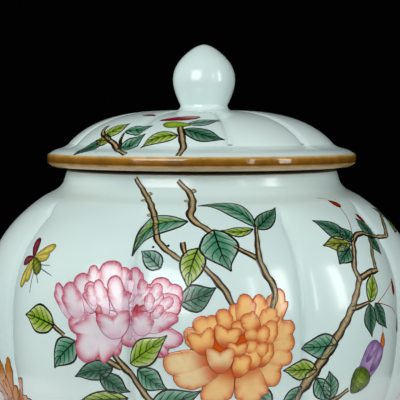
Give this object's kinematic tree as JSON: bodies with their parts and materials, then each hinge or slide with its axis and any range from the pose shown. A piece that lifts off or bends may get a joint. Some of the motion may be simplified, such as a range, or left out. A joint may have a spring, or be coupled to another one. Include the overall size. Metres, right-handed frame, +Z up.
{
  "type": "ginger jar",
  "caption": "Melon-lobed covered porcelain jar with a short neck, a foot ring and a domed, flat-brimmed lid with a bud knob; holds dry goods or stands as decoration.",
  "frame": {"origin": "on the jar's axis at the plane the foot ring stands on", "axes": "+Z up along the jar's axis; the main painted face looks along -Y"},
  "size_m": [0.2245, 0.2235, 0.2304],
  "materials": {
    "glaze": "glossy",
    "biscuit": "matte",
    "lid_biscuit": "matte",
    "amber_enamel": "glossy"
  },
  "bodies": {
    "jar": {"jar_lower_body": "glaze", "jar_upper_body": "glaze", "jar_neck": "glaze", "foot_ring": "biscuit"},
    "lid": {"lid_dome": "glaze", "lid_flange": "lid_biscuit", "lid_knob": "glaze", "lid_edge_band": "amber_enamel"}
  },
  "joints": [
    {"name": "lid_lift", "type": "slide", "parent": "jar", "child": "lid", "axis": [0, 0, 1], "range_m": [0, 0.12]}
  ]
}
